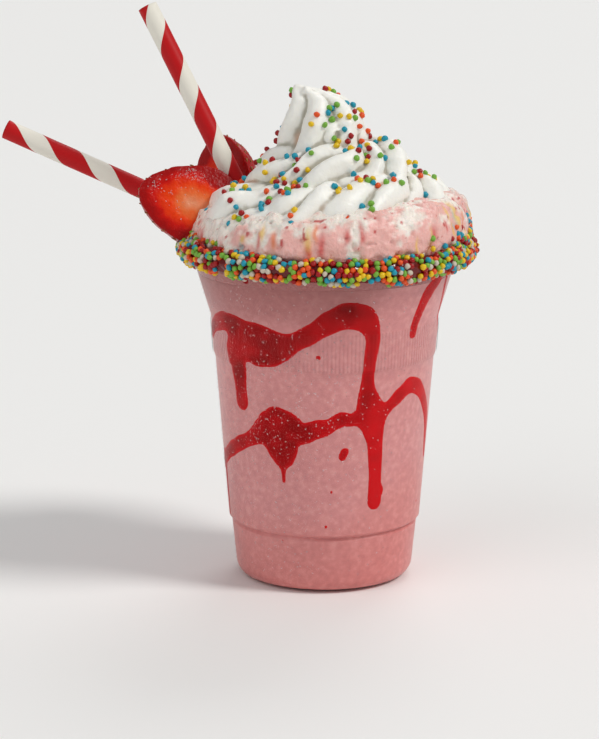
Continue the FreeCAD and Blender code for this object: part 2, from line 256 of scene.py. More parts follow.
def add_ramp(material, factor, stops):
    """A colour ramp fed by a factor; stops are (place, colour) pairs."""
    ramp = material.node_tree.nodes.new("ShaderNodeValToRGB")
    edge = ramp.color_ramp
    while len(edge.elements) < len(stops):
        edge.elements.new(0.5)
    for element, (place, colour) in zip(edge.elements, stops):
        element.position = place
        element.color = colour
    material.node_tree.links.new(factor, ramp.inputs["Fac"])
    return ramp.outputs["Color"]


def add_bump(material, shader, height, depth, strength=1.0):
    """A bump of this depth in metres from a height between 0 and 1."""
    bump = material.node_tree.nodes.new("ShaderNodeBump")
    bump.inputs["Distance"].default_value = depth
    bump.inputs["Strength"].default_value = strength
    material.node_tree.links.new(height, bump.inputs["Height"])
    material.node_tree.links.new(bump.outputs["Normal"], shader.inputs["Normal"])


def add_link(material, source, target):
    """A link between two sockets of the material's nodes."""
    material.node_tree.links.new(source, target)


def reckon(material, kind, *values):
    """One math node fed by sockets or plain numbers."""
    node = material.node_tree.nodes.new("ShaderNodeMath")
    node.operation = kind
    for number, value in enumerate(values):
        if isinstance(value, (int, float)):
            node.inputs[number].default_value = value
        else:
            add_link(material, value, node.inputs[number])
    return node.outputs[0]


def place_of(material):
    """The x, y and z sockets of the Object coordinates."""
    nodes = material.node_tree.nodes
    apart = nodes.new("ShaderNodeSeparateXYZ")
    add_link(material, nodes.new("ShaderNodeTexCoord").outputs["Object"], apart.inputs[0])
    return apart.outputs


def add_base_tint_and_painted_shade(material, colour):
    """A colour times a grey: painted shade that falls towards the neck, where the lip ring casts its
    shadow, less on the right where the lamp shines, and a redder, darker tint towards the base.
    """
    x, _, z = place_of(material)
    right = reckon(material, "MAXIMUM", reckon(material, "SUBTRACT", x, 6 * MM), 0.0)
    height = reckon(material, "SUBTRACT", z, reckon(material, "MULTIPLY", right, 0.75))
    grey = add_ramp(material, reckon(material, "DIVIDE", height, 125 * MM), BASE_TINT_AND_PAINTED_NECK_SHADE)
    blend = material.node_tree.nodes.new("ShaderNodeMix")
    blend.data_type = "RGBA"
    blend.blend_type = "MULTIPLY"
    blend.inputs["Factor"].default_value = 1
    add_link(material, colour, blend.inputs["A"])
    add_link(material, grey, blend.inputs["B"])
    return blend.outputs["Result"]


# Painted shade: the stops near the top darken the neck under the lip ring; the stops near the bottom
# only tint the base redder and a little darker.
BASE_TINT_AND_PAINTED_NECK_SHADE = [(0.0, (0.96, 0.76, 0.72, 1)), (0.16, (0.98, 0.88, 0.85, 1)), (0.26, (1, 1, 1, 1)),
              (0.77, (1, 1, 1, 1)), (0.84, (0.68, 0.61, 0.6, 1)), (0.93, (0.53, 0.43, 0.41, 1))]
patches = add_noise(drink_paint, 2.2 * MM, detail=5)
pinks = add_ramp(drink_paint, patches, [
    (0.32, tint(209, 135, 135)), (0.52, tint(217, 143, 142)), (0.68, tint(225, 156, 154))])
add_link(drink_paint, add_base_tint_and_painted_shade(drink_paint, pinks), drink_shader.inputs["Base Color"])


def add_flutes(material, shader, depth):
    """The cup's flutes seen through it: a bump of cos(FLUTES * angle round Z) on the belt."""
    x, y, z = place_of(material)
    turn = reckon(material, "ARCTAN2", y, x)
    wave = reckon(material, "COSINE", reckon(material, "MULTIPLY", turn, FLUTES))
    away = reckon(material, "ABSOLUTE", reckon(material, "SUBTRACT", z, BELT_MIDDLE))
    shown = reckon(material, "LESS_THAN", away, BELT_HALF)
    add_bump(material, shader, reckon(material, "MULTIPLY", wave, shown), depth)


add_flutes(drink_paint, drink_shader, 0.06 * MM)
points, faces = turned(drink_radii, drink_heights, CUP_STEPS)
drink = lay_mesh("drink", points, faces, drink_paint)
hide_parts("milkshake")

# ---- Syrup trails ------------------------------------------------------------------------
# Red strawberry syrup squeezed round the inside of the cup before the drink went in. It ran
# into bands, drops and drips, and shows through the plastic.
SYRUP_GRID = 0.55 * MM
SYRUP_SPREAD = 39 * MM
SYRUP_SOFTEN = 2.4 * MM
SYRUP_BULGE = 0.1 * MM
# Each trail is a row of (bearing from the front in degrees, height, half width in mm).
TRAILS = [
    [(-96, 92, 3), (-84, 92, 3), (-72, 96, 2.8), (-56, 98.8, 4), (-43, 94.2, 7.1), (-33, 92.4, 7.7),
     (-24, 92.3, 5.7), (-16, 94.3, 3.7), (-7, 97.7, 3.4), (2, 102, 4.1), (11, 104.8, 5),
     (19, 103, 4.4), (23.5, 98, 3), (24.1, 92, 2.5), (22.6, 83, 2.3), (22.6, 77, 3),
     (25, 69, 5.2), (27.2, 62, 4.4), (28.6, 55, 3.2), (29.6, 41, 2.7), (29.8, 34.8, 3.1)],
    [(-50.5, 89, 5.6), (-50.2, 83, 4.2), (-49.6, 77, 3.3), (-49, 70.6, 3.4)],
    [(-112, 36, 1.5), (-96, 40, 2), (-84, 43, 2.2), (-73, 47, 2.5), (-57, 53, 2.8), (-43, 57.4, 2.9),
     (-26, 63.3, 6.6), (-13, 61.2, 4.1), (-4, 62.8, 3.5), (2, 64, 2.8), (9, 66.4, 2.7),
     (15, 66.2, 2.5), (25, 67.5, 3.9)],
    [(-26, 63, 6.6), (-24, 57.4, 6.9), (-23, 52.2, 4.4)],
    [(-23, 49, 0.8), (-23, 43, 0.5)],
    [(31.5, 38.5, 1.2), (33.4, 38.8, 0.9)],
    [(26, 66, 3.6), (34, 69, 2.4), (43, 73.3, 2.6), (51, 76.2, 3.1), (59, 74.3, 2.7),
     (68, 68.3, 2.4), (76, 59.7, 2.5), (79, 47, 1.6)],
    [(62, 116, 2.4), (55, 110.2, 2.9), (52, 105.5, 2.4), (50, 97.7, 1.8), (49, 95.2, 1.6)],
    [(70, 116, 1.2), (73, 108.6, 1.1), (82, 96, 1.4), (95, 88, 2), (108, 86, 3)],
    [(11, 54.4, 1.5), (10, 52.6, 1.4)],
    [(-78, 47, 1.5), (-79, 32, 1.5), (-79, 24, 1.1)],
    [(-38, 117.6, 0.7), (-36, 116, 0.9)],
    [(108, 86, 3), (122, 92, 4), (135, 97, 5.4), (150, 93, 4), (163, 86, 3), (176, 88, 3.6),
     (190, 95, 5), (204, 99, 4.2), (216, 96, 3.4), (232, 91, 3), (248, 89, 3.2), (264, 92, 3)],
    [(136, 95, 3.6), (137, 86, 2.2), (137, 74, 1.8), (137.5, 66, 2.3)],
    [(190, 93, 3.4), (190.5, 82, 2), (191, 70, 2.2), (192, 60, 3.4), (192, 50, 2.1), (192.5, 40, 2.5)],
    [(112, 58, 2), (124, 62, 2.6), (138, 58, 4.6), (152, 55, 3.6), (168, 58, 2.8), (192, 60, 3.4),
     (206, 66, 2.8), (220, 63, 4.4), (236, 54, 3), (248, 36, 1.5)],
]
# Lone drops of syrup: bearing, height and half width of each.
DROPS = [(-3, 89.4, 0.75), (4, 39.5, 0.4), (1, 26.4, 0.55), (-26, 20, 0.45), (160, 74, 1.1),
         (104, 70, 0.9), (228, 78, 0.8), (70, 30, 0.5)]


def lumpy(points, patch, seed):
    """Smooth noise from -1 to 1: random values on a cubic lattice, eased between its corners."""
    table = np.random.default_rng(seed).uniform(-1, 1, 4096)
    cell = np.asarray(points) / patch
    base = np.floor(cell).astype(np.int64)
    share = cell - base
    share = share * share * (3 - 2 * share)
    total = np.zeros(cell.shape[:-1])
    for corner in np.ndindex(2, 2, 2):
        x, y, z = np.moveaxis(base + corner, -1, 0)
        pick = (x * 73856093 ^ y * 19349663 ^ z * 83492791) & 4095
        total += np.prod(np.where(corner, share, 1 - share), -1) * table[pick]
    return total


def smooth_trail(trail, spacing=4):
    """A trail with points added between its own by a cubic through each four neighbours."""
    knots = np.asarray(trail, float)
    knots = np.vstack([2 * knots[0] - knots[1], knots, 2 * knots[-1] - knots[-2]])
    share = np.linspace(0, 1, spacing, endpoint=False)[:, None, None]
    before, start, end, after = knots[:-3], knots[1:-2], knots[2:-1], knots[3:]
    curve = 0.5 * (2 * start + (end - before) * share
                   + (2 * before - 5 * start + 4 * end - after) * share**2
                   + (3 * start - before - 3 * end + after) * share**3)
    return np.vstack([curve.transpose(1, 0, 2).reshape(-1, 3), knots[-2:-1]])


def trail_depth(across, up, trail):
    """How far inside a trail each point lies: half width less distance, the most of any span."""
    x, y, wide = trail[:, 0] * SYRUP_SPREAD, trail[:, 1], trail[:, 2]
    best = np.full(across.shape, -1.0)
    for k in range(len(trail) - 1):
        run = np.array([x[k + 1] - x[k], y[k + 1] - y[k]])
        share = ((across - x[k]) * run[0] + (up - y[k]) * run[1]) / max(run @ run, 1e-12)
        share = np.clip(share, 0, 1)
        gap = np.hypot(across - x[k] - share * run[0], up - y[k] - share * run[1])
        best = np.maximum(best, wide[k] + share * (wide[k + 1] - wide[k]) - gap)
    return best


def blend_depth(first, second, soften):
    """The larger of two depths, rounded off where they are within soften of each other."""
    near = np.clip(0.5 + 0.5 * (first - second) / soften, 0, 1)
    return second + near * (first - second) + soften * near * (1 - near)


chance = np.random.default_rng(12)
columns = int(round(2 * np.pi * SYRUP_SPREAD / SYRUP_GRID))
bearing = np.linspace(-np.pi, np.pi, columns, endpoint=False)
syrup_rows = np.arange(16, 118.4, SYRUP_GRID / MM) * MM
up, around = np.meshgrid(syrup_rows, bearing, indexing="ij")
wobble = 0.35 * MM * (np.sin(up / (2.3 * MM) + 3 * np.sin(around * 9))
                      + np.sin(around * 31 + up / (3.1 * MM)))
depth = np.full(up.shape, -1.0)
spots = [[(a, z, w), (a + 0.01, z, w)] for a, z, w in DROPS]
for trail in TRAILS + spots:
    path = smooth_trail(trail) if len(trail) > 2 else np.asarray(trail, float)
    path = path * np.array([np.pi / 180, MM, MM])
    middle = path[:, 0].mean()
    offset = (around - middle + np.pi) % (2 * np.pi) - np.pi + middle
    depth = blend_depth(depth, trail_depth(offset * SYRUP_SPREAD, up, path), SYRUP_SOFTEN)
depth += 0.3 * wobble
slope_up, slope_along = np.gradient(depth, SYRUP_GRID)
steep = np.maximum(slope_up**2 + slope_along**2, 0.3)
edge = np.clip(-depth / steep, 0, 0.9 * SYRUP_GRID)
wet = depth > 0
neighbours = [np.roll(wet, (down, along), (0, 1)) for down in (-1, 0, 1) for along in (-1, 0, 1)]
rim = ~wet & np.any(neighbours, axis=0)
up_moved = up + np.where(rim, edge * slope_up, 0)
around_moved = around + np.where(rim, edge * slope_along, 0) / SYRUP_SPREAD
thick = np.clip(depth / (1.6 * MM), 0, 1)
bulge = SYRUP_BULGE * np.sqrt(thick)
front = side_radius(up_moved) - WALL + WETTING + 0.01 * MM + bulge
back = side_radius(up_moved) - WALL + 0.05 * MM
keep = wet | rim
cells = grid_faces(len(syrup_rows), columns, wrap_columns=True)
cells = cells[keep.ravel()[cells].all(1) & wet.ravel()[cells].any(1)]
turn = around_moved - np.pi / 2
outer = np.stack([front * np.cos(turn), front * np.sin(turn), up_moved], -1).reshape(-1, 3)
inner = np.stack([back * np.cos(turn), back * np.sin(turn), up_moved], -1).reshape(-1, 3)
size = len(outer)
sides = np.concatenate([cells[:, [k, (k + 1) % 4]] for k in range(4)])
keys = sides[:, 0] * size + sides[:, 1]
lone = sides[~np.isin(keys, sides[:, 1] * size + sides[:, 0])]
skirt = np.stack([lone[:, 1], lone[:, 0], lone[:, 0] + size, lone[:, 1] + size], -1)
faces = np.vstack([cells, cells[:, ::-1] + size, skirt])
used, faces = np.unique(faces, return_inverse=True)
faces = faces.reshape(-1, 4)
points = np.vstack([outer, inner])[used]
# Painted light: the syrup is painted lighter towards the right, where the lamp falls, and a deeper red
# on the left; random clouds and thicker syrup deepen the red as well.
painted_light_right_side = np.clip(points[:, 0] / (25 * MM) + 0.2, 0, 1)
clouds_and_painted_light = 0.75 - 0.55 * painted_light_right_side
clouds_and_painted_light += 0.45 * lumpy(points, 9 * MM, 17) + 0.3 * lumpy(points, 3 * MM, 18)
clouds_and_painted_light = np.clip(clouds_and_painted_light, 0, 1)
shade = (np.concatenate([thick.ravel(), thick.ravel()])[used] * clouds_and_painted_light)[:, None]
thin, deep = np.array(tint(208, 12, 20)[:3]), np.array(tint(148, 2, 4)[:3])
syrup_gloss, syrup_shader = new_material(
    "strawberry_syrup", Roughness=0.35, IOR=1.4, Specular_IOR_Level=0.12)


def add_stain(material, shader):
    """The piece's own painted colour, from its stain attribute, as the base colour."""
    stain = material.node_tree.nodes.new("ShaderNodeVertexColor")
    stain.layer_name = "stain"
    add_link(material, stain.outputs["Color"], shader.inputs["Base Color"])
    return stain.outputs["Color"]


syrup_red = add_stain(syrup_gloss, syrup_shader)
# The syrup gets the same painted neck shade as the drink.
add_link(syrup_gloss, add_base_tint_and_painted_shade(syrup_gloss, syrup_red), syrup_shader.inputs["Base Color"])
add_flutes(syrup_gloss, syrup_shader, 0.012 * MM)
lay_mesh("syrup_trails", points, faces, syrup_gloss,
         thin + (deep - thin) * shade)

# ---- Froth -------------------------------------------------------------------------------
# The foam of the drink: it plugs the neck of the cup, bulges out over the lip and is higher
# on one side. Cream has run into it, and colour from syrup and sugar beads has bled down it.


def eased(value, low, high):
    """0 below the first limit, 1 above the second, and a smooth step between them."""
    share = np.clip((value - low) / (high - low), 0, 1)
    return share * share * (3 - 2 * share)


def spread_rows(radii, heights, count):
    """The profile's points moved along it to be evenly spaced."""
    way = np.concatenate([[0], np.cumsum(np.hypot(np.diff(radii), np.diff(heights)))])
    even = np.linspace(0, way[-1], count)
    return np.interp(even, way, radii), np.interp(even, way, heights)


FROTH_SHIFT = 2.2 * MM
FROTH_TILT = 0.05
FROTH_FOOT, FROTH_TOP = 113 * MM, 141.6 * MM
FROTH_ROWS, FROTH_STEPS = 84, 640
STREAKS = 64
froth_heights = np.array([
    113, 118, 120.9, 122, 124, 126.6, 129.5, 132.5, 135.4, 138, 140, 141.2, 141.6]) * MM
froth_radii = np.array([
    46, 47.5, 47.4, 48.3, 49.6, 50.5, 50.8, 50.4, 49.3, 47.3, 44, 39, 32]) * MM
froth_radii[:2] = side_radius(froth_heights[:2]) - WALL + WETTING - 0.02 * MM
froth_radii, froth_heights = spread_rows(froth_radii, froth_heights, FROTH_ROWS)
froth_radii = np.concatenate([[0], froth_radii, [0]])
froth_heights = np.concatenate([[FROTH_FOOT], froth_heights, [FROTH_TOP]])
points, faces = turned(froth_radii, froth_heights, FROTH_STEPS)
above = eased(points[:, 2], 120.5 * MM, 125 * MM)
outward = points * np.array([1, 1, 0])
outward /= np.maximum(np.linalg.norm(outward, axis=1), 1e-9)[:, None]
outward[:, 2] = eased(points[:, 2], 132 * MM, 142 * MM)
lumps = (0.9 * lumpy(points, 9 * MM, 1) + 0.75 * lumpy(points, 4 * MM, 2)
         + 0.42 * lumpy(points, 1.9 * MM, 3) + 0.18 * lumpy(points, 0.9 * MM, 4))
pits = 1.0 * eased(lumpy(points, 2.6 * MM, 5), 0.45, 0.8)
froth_points = points + outward * ((lumps - pits) * above)[:, None] * MM
froth_points[:, 0] += FROTH_SHIFT * above
froth_points[:, 2] += FROTH_TILT * froth_points[:, 0] * above

pink, pale = np.array(tint(240, 184, 176)[:3]), np.array(tint(246, 236, 226)[:3])
blotch = (lumpy(points, 8 * MM, 6) + 0.6 * lumpy(points, 3 * MM, 7)
          + 0.3 * lumpy(points, 1.2 * MM, 8))
left = eased(-points[:, 0], 25 * MM, 45 * MM)
high = eased(points[:, 2], 129 * MM, 139 * MM)
whiten = eased(blotch + 0.5 * high + left * (0.5 + 0.9 * high), -0.05, 0.65)
froth_colour = pink + (pale - pink) * whiten[:, None]
bearing = np.arctan2(points[:, 0], -points[:, 1])
chance = np.random.default_rng(31)
DYES = [tint(236, 190, 70), tint(232, 120, 50), tint(206, 40, 34), tint(160, 200, 205),
        tint(206, 40, 34), tint(240, 205, 120)]
for place in range(STREAKS):
    middle = chance.uniform(-np.pi, np.pi)
    start = chance.uniform(128, 139) * MM
    run = chance.uniform(2, 8) * MM
    wide = chance.uniform(0.5, 1.3) * MM
    aside = (bearing - middle + np.pi) % (2 * np.pi) - np.pi
    aside = aside * 49 * MM + 0.6 * MM * lumpy(points, 2.5 * MM, 100 + place)
    body = np.exp(-(aside / wide) ** 2)
    body *= np.exp(-(((points[:, 2] - start + run / 2) / (0.55 * run)) ** 2) ** 1.5)
    dye = np.array(DYES[place % len(DYES)][:3])
    froth_colour += (dye - froth_colour) * (0.75 * body)[:, None]
specks = eased(lumpy(points, 1.9 * MM, 9), 0.62, 0.75)
froth_colour += (np.array(tint(190, 24, 26)[:3]) - froth_colour) * (0.8 * specks)[:, None]
# Painted shade: inside the lip the froth is painted the dark pink of the drink's shaded neck.
painted_shade_in_neck = eased(-points[:, 2], -120.5 * MM, -119 * MM)[:, None]
froth_colour += (np.array(tint(176, 108, 105)[:3]) - froth_colour) * painted_shade_in_neck
froth_paint, froth_shader = new_material(
    "strawberry_froth", Roughness=0.24, Subsurface_Weight=0.2,
    Subsurface_Radius=(0.003, 0.0016, 0.0012), Subsurface_Scale=1.0)
add_stain(froth_paint, froth_shader)
bubbles = add_noise(froth_paint, 0.9 * MM, detail=4)
add_bump(froth_paint, froth_shader, bubbles, 0.4 * MM)
froth = lay_mesh("froth_bulge", froth_points, faces, froth_paint, froth_colour)
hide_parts("froth")

# ---- Whipped cream -----------------------------------------------------------------------
# White cream piped through a star nozzle as one thick rope that coils up in three turns and
# ends in a soft tip. The nozzle's ridges wind round the rope and slant up across each turn.
RIDGES = 6
# Turns from the start, coil radius, height of the rope's middle, rope radius, ridge depth.
ROPE = np.array([
    (0.00, 30.0, 133.5, 14.0, 0.06),
    (0.45, 30.5, 134.5, 14.6, 0.20),
    (0.70, 30.5, 134.5, 13.4, 0.28),
    (0.92, 28.5, 132.8, 12.2, 0.32),
    (1.12, 22.0, 138.0, 12.6, 0.36),
    (1.35, 15.5, 144.0, 12.8, 0.40),
    (1.70, 17.0, 145.8, 12.8, 0.42),
    (1.95, 15.0, 147.0, 12.6, 0.42),
    (2.35, 7.0, 155.5, 10.6, 0.36),
    (2.65, 4.0, 160.5, 9.2, 0.24),
    (3.00, 5.0, 166.0, 8.6, 0.22),
    (3.20, 5.0, 170.0, 7.0, 0.30),
    (3.36, 6.0, 175.0, 4.6, 0.22),
    (3.46, 8.0, 178.6, 2.4, 0.14),
    (3.50, 8.8, 181.0, 1.0, 0.06)])
ROPE_START = math.radians(-324)
CREAM_SHIFT = 3.2 * MM
STEPS_LONG, STEPS_ROUND = 620, 84
PEAK_ROWS, PEAK_STEPS = 70, 168
CREAM_GRAIN = 0.6 * MM


def eased_through(places, knots, values):
    """Values at places on a smooth curve through the knots: a straight line, then blurred."""
    wide = 0.06
    shifts = np.linspace(-2, 2, 17) * wide
    weights = np.exp(-(shifts / wide) ** 2)
    lines = [np.interp(places + shift, knots, values) for shift in shifts]
    return (np.array(lines) * weights[:, None]).sum(0) / weights.sum()


turns = np.linspace(ROPE[0, 0], ROPE[-1, 0], STEPS_LONG)
coil, middle_height, girth, ridge = (
    eased_through(turns, ROPE[:, 0], ROPE[:, k]) for k in range(1, 5))
coil, middle_height, girth = coil * MM, middle_height * MM, girth * MM
heading = ROPE_START + 2 * np.pi * turns
centre = np.stack([coil * np.cos(heading), coil * np.sin(heading), middle_height], -1)
centre += 1.3 * MM * np.stack([
    np.sin(3.1 * heading + 1), np.sin(2.3 * heading + 4), 0.7 * np.sin(4.3 * heading)], -1)
centre[:, 0] += CREAM_SHIFT * eased(-middle_height, -170 * MM, -150 * MM)
centre[:, 2] += 0.115 * centre[:, 0] * eased(-middle_height, -146 * MM, -136 * MM)
forward = np.gradient(centre, axis=0)
forward /= np.linalg.norm(forward, axis=1)[:, None]
outside = np.stack([np.cos(heading), np.sin(heading), 0 * heading], -1)
outside -= (outside * forward).sum(1)[:, None] * forward
outside /= np.linalg.norm(outside, axis=1)[:, None]
upward = np.cross(outside, forward)
upward *= np.sign(upward[:, 2:3])
wind = np.cumsum(0.75 * (coil + girth) / girth * np.gradient(heading))
wind += 0.45 * lumpy(centre, 15 * MM, 19)
ridge = ridge * (1 + 0.35 * lumpy(centre, 9 * MM, 20))
spin = np.linspace(0, 2 * np.pi, STEPS_ROUND, endpoint=False)
star = np.abs(np.cos(RIDGES / 2 * (spin[None, :] - wind[:, None]))) ** 0.7
reach = girth[:, None] * (1 - ridge[:, None] * (1 - star) + 0.4 * ridge[:, None])
rope = (centre[:, None] + reach[..., None] * (
    np.cos(spin)[None, :, None] * outside[:, None] + np.sin(spin)[None, :, None] * upward[:, None]))
lower = eased(-rope[..., 2:], -158 * MM, -148 * MM)
sway = np.stack([lumpy(rope, 12 * MM, seed) for seed in (11, 12, 13)], -1)
rope += (1.0 + 1.3 * lower) * MM * sway


def end_caps(rows, columns):
    """The two flat faces that close a tube of rows and columns at its ends."""
    first = list(range(columns))
    return [first[::-1], [corner + (rows - 1) * columns for corner in first]]


rope_faces = grid_faces(STEPS_LONG, STEPS_ROUND, wrap_columns=True).tolist() + end_caps(
    STEPS_LONG, STEPS_ROUND)
mound_radii = np.array([0, 43, 43, 36, 22, 13, 8, 0]) * MM
mound_heights = np.array([128, 128, 133, 137, 150, 158, 168, 170]) * MM
mound, mound_faces = turned(mound_radii, mound_heights, 96)
mound[:, 0] += CREAM_SHIFT * eased(-mound[:, 2], -165 * MM, -150 * MM)
PEAK_HEIGHTS = np.array([150, 158, 164, 169, 173, 176.5, 179.5, 181.5, 182.3]) * MM
peak_radii = np.array([16, 15.6, 14.8, 13.8, 12, 9.4, 6, 2.6, 0.8]) * MM
peak_shift = np.array([0, -0.6, -0.8, -0.8, -1.2, -2.6, -5.4, -8.2, -9.2]) * MM
peak_rise = np.linspace(PEAK_HEIGHTS[0], PEAK_HEIGHTS[-1], PEAK_ROWS)
spin = np.linspace(0, 2 * np.pi, PEAK_STEPS, endpoint=False)
peak_twist = (peak_rise - PEAK_HEIGHTS[0])[:, None] / (42 * MM)
star = np.abs(np.cos(3 * (spin - peak_twist) + 0.5)) ** 0.7
peak_reach = np.interp(peak_rise, PEAK_HEIGHTS, peak_radii)[:, None] * (0.66 + 0.42 * star)
peak = np.stack([
    peak_reach * np.cos(spin) + np.interp(peak_rise, PEAK_HEIGHTS, peak_shift)[:, None],
    peak_reach * np.sin(spin), peak_rise[:, None] + 0 * spin], -1)
peak += 1.0 * MM * np.stack([lumpy(peak, 9 * MM, seed) for seed in (14, 15, 16)], -1)
peak_faces = grid_faces(PEAK_ROWS, PEAK_STEPS, wrap_columns=True).tolist() + end_caps(
    PEAK_ROWS, PEAK_STEPS)


def join_shells(shells):
    """One list of points and one of faces from several closed shells."""
    points, faces, first = [], [], 0
    for shell_points, shell_faces in shells:
        points.append(shell_points)
        faces += [[corner + first for corner in face] for face in shell_faces]
        first += len(shell_points)
    return np.vstack(points), faces


points, faces = join_shells([
    (rope.reshape(-1, 3), rope_faces), (mound, mound_faces), (peak.reshape(-1, 3), peak_faces)])

draft_mesh = bpy.data.meshes.new("cream_draft")
draft_mesh.from_pydata(points.tolist(), [], faces)
draft = bpy.data.objects.new("cream_draft", draft_mesh)
bpy.context.scene.collection.objects.link(draft)
join = draft.modifiers.new("join", "REMESH")
join.mode = "VOXEL"
join.voxel_size = CREAM_GRAIN
soften = draft.modifiers.new("soften", "SMOOTH")
soften.factor = 0.5
soften.iterations = 3
depsgraph = bpy.context.evaluated_depsgraph_get()
joined = bpy.data.meshes.new_from_object(draft.evaluated_get(depsgraph))
bpy.data.objects.remove(draft)


def read_rows(items, key, width, kind=float):
    """A mesh's values under one key as an array, width of them to a row."""
    values = np.zeros(len(items) * width, kind)
    items.foreach_get(key, values)
    return values.reshape(-1, width)


cream_points = read_rows(joined.vertices, "co", 3)
cream_normals = read_rows(joined.vertices, "normal", 3)
texture = (0.35 * lumpy(cream_points, 5 * MM, 21) + 0.16 * lumpy(cream_points, 2.2 * MM, 22)
           + 0.07 * lumpy(cream_points, 1.1 * MM, 23))
cream_points = cream_points + cream_normals * (texture * MM)[:, None]
cream_faces = read_rows(joined.loops, "vertex_index", 1, int).reshape(-1, 4)
edges = read_rows(joined.edges, "vertices", 2, int)
ends, others = edges.ravel(), edges[:, ::-1].ravel()
degree = np.bincount(ends, minlength=len(cream_points))
softened = cream_points.copy()
for _ in range(24):
    softened = np.stack([
        np.bincount(ends, softened[others, k], len(cream_points)) / degree for k in range(3)], -1)
# Painted shade: the hollows and folds of the cream, where shade falls, are painted grey or warm beige;
# the crests stay white.
hollow = eased(((softened - cream_points) * cream_normals).sum(1), 0.02 * MM, 0.6 * MM)
warm = eased(lumpy(cream_points, 9 * MM, 24), 0.2, 0.7)[:, None]
painted_hollow_shade = np.array(tint(180, 175, 160)[:3]) * (1 - warm) + np.array(tint(206, 166, 140)[:3]) * warm
cream_colour = np.array(tint(248, 247, 240)[:3]) * (1 - hollow[:, None]) + painted_hollow_shade * hollow[:, None]
cream_paint, cream_shader = new_material(
    "whipped_cream", Roughness=0.42, Subsurface_Weight=0.1,
    Subsurface_Radius=(0.003, 0.0026, 0.002), Subsurface_Scale=1.0)
add_stain(cream_paint, cream_shader)
add_bump(cream_paint, cream_shader, add_noise(cream_paint, 0.8 * MM, detail=4), 0.15 * MM)
cream = lay_mesh("cream_swirl", cream_points, cream_faces, cream_paint, cream_colour)
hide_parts("whipped_cream")

# ---- Sauce and sugar beads on the lip ----------------------------------------------------
# The lip was dipped in thick red sauce and then rolled in sugar beads, which stuck two or
# three deep. The ring is uneven, with the sauce showing in the gaps between the beads.
LIP_RING = 50.0 * MM
RING_HEIGHT = 121.8 * MM
RING_GIRTH = 3.8 * MM
RING_STEPS, SECTION_STEPS = 560, 40
BEAD = 1.08 * MM
BEAD_ROWS = np.radians(np.arange(-78, 150, 25.0))
RIGHT_BEADS, LEFT_BEADS = 90, 110


def ring_girth(turn):
    """The sauce ring's thickness at an angle: its usual girth with three waves added."""
    wave = 0.5 * np.sin(5 * turn + 1) + 0.35 * np.sin(11 * turn) + 0.3 * np.sin(23 * turn + 2)
    return RING_GIRTH + 0.45 * MM * wave


def on_ring(turn, round_it, proud):
    """The point at an angle round the cup and an angle round the sauce ring's own section."""
    reach = ring_girth(turn) + proud
    radius = LIP_RING + reach * np.cos(round_it) + 0.6 * MM * np.cos(turn)
    height = RING_HEIGHT + 0.7 * MM * np.sin(2 * turn + 0.6) + reach * np.sin(round_it)
    return np.stack([radius * np.cos(turn), radius * np.sin(turn), height], -1)


turn, round_it = np.meshgrid(
    np.linspace(0, 2 * np.pi, RING_STEPS, endpoint=False),
    np.linspace(0, 2 * np.pi, SECTION_STEPS, endpoint=False), indexing="ij")
sauce = on_ring(turn, round_it, 0)
bumps = 0.5 * lumpy(sauce, 3 * MM, 41) + 0.25 * lumpy(sauce, 1.3 * MM, 42)
sauce = on_ring(turn, round_it, bumps * MM)
sauce_gloss, _ = new_material(
    "berry_sauce", Base_Color=tint(104, 3, 6), Roughness=0.16, IOR=1.45)
faces = grid_faces(RING_STEPS, SECTION_STEPS, wrap_rows=True, wrap_columns=True)
sauce_ring = lay_mesh("lip_sauce", sauce.reshape(-1, 3), faces[:, ::-1], sauce_gloss)
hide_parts("rim_coating")


def unit_ball():
    """A ball of 60 faces: 12 even poles, a corner over each triangle of poles, joined in threes."""
    golden = (1 + 5**0.5) / 2
    base = np.array([(0, near, far * golden) for near in (-1, 1) for far in (-1, 1)])
    poles = np.vstack([base, np.roll(base, 1, 1), np.roll(base, 2, 1)]) / math.hypot(1, golden)
    close = np.linalg.norm(poles[:, None] - poles, axis=-1) < 1.1
    trios = [trio for trio in combinations(range(12), 3) if close[np.ix_(trio, trio)].all()]
    between = poles[np.array(trios)].sum(1)
    between /= np.linalg.norm(between, axis=1)[:, None]
    corners = np.vstack([poles, between])
    faces = np.array([
        (pole, 12 + one, 12 + other)
        for one, other in combinations(range(len(trios)), 2)
        if len(set(trios[one]) & set(trios[other])) == 2
        for pole in sorted(set(trios[one]) & set(trios[other]))])
    first, second, third = corners[faces].transpose(1, 0, 2)
    inward = (first * np.cross(second, third)).sum(1) < 0
    faces[inward] = faces[inward, ::-1]
    return 1.04 * corners, faces


BALL, BALL_FACES = unit_ball()
SUGAR_COLOURS = {
    "blue": tint(18, 152, 178), "yellow": tint(232, 192, 16), "red": tint(160, 2, 8),
    "orange": tint(234, 84, 24), "green": tint(118, 176, 58), "white": tint(206, 194, 176)}
sugar = {}
for colour, shade in SUGAR_COLOURS.items():
    sugar[colour], sugar_shader = new_material(
        f"{colour}_sugar", Base_Color=shade, Roughness=0.34, IOR=1.45)
    add_bump(sugar[colour], sugar_shader, add_noise(sugar[colour], 0.5 * MM), 0.08 * MM)


def lay_beads(name, middles, colour):
    """Sugar beads as one mesh: a ball at each middle, squashed, dented and turned at random."""
    count = len(middles)
    squash = BEAD * chance.uniform(0.84, 1.12, (count, 1, 3))
    dents = 1 + 0.07 * chance.standard_normal((count, len(BALL), 1))
    axes = np.linalg.qr(chance.standard_normal((count, 3, 3)))[0]
    axes *= np.sign(np.linalg.det(axes))[:, None, None]
    corners = (BALL * dents * squash) @ axes + middles[:, None]
    faces = BALL_FACES + len(BALL) * np.arange(count)[:, None, None]
    return lay_mesh(name, corners.reshape(-1, 3), faces.reshape(-1, 3), sugar[colour])


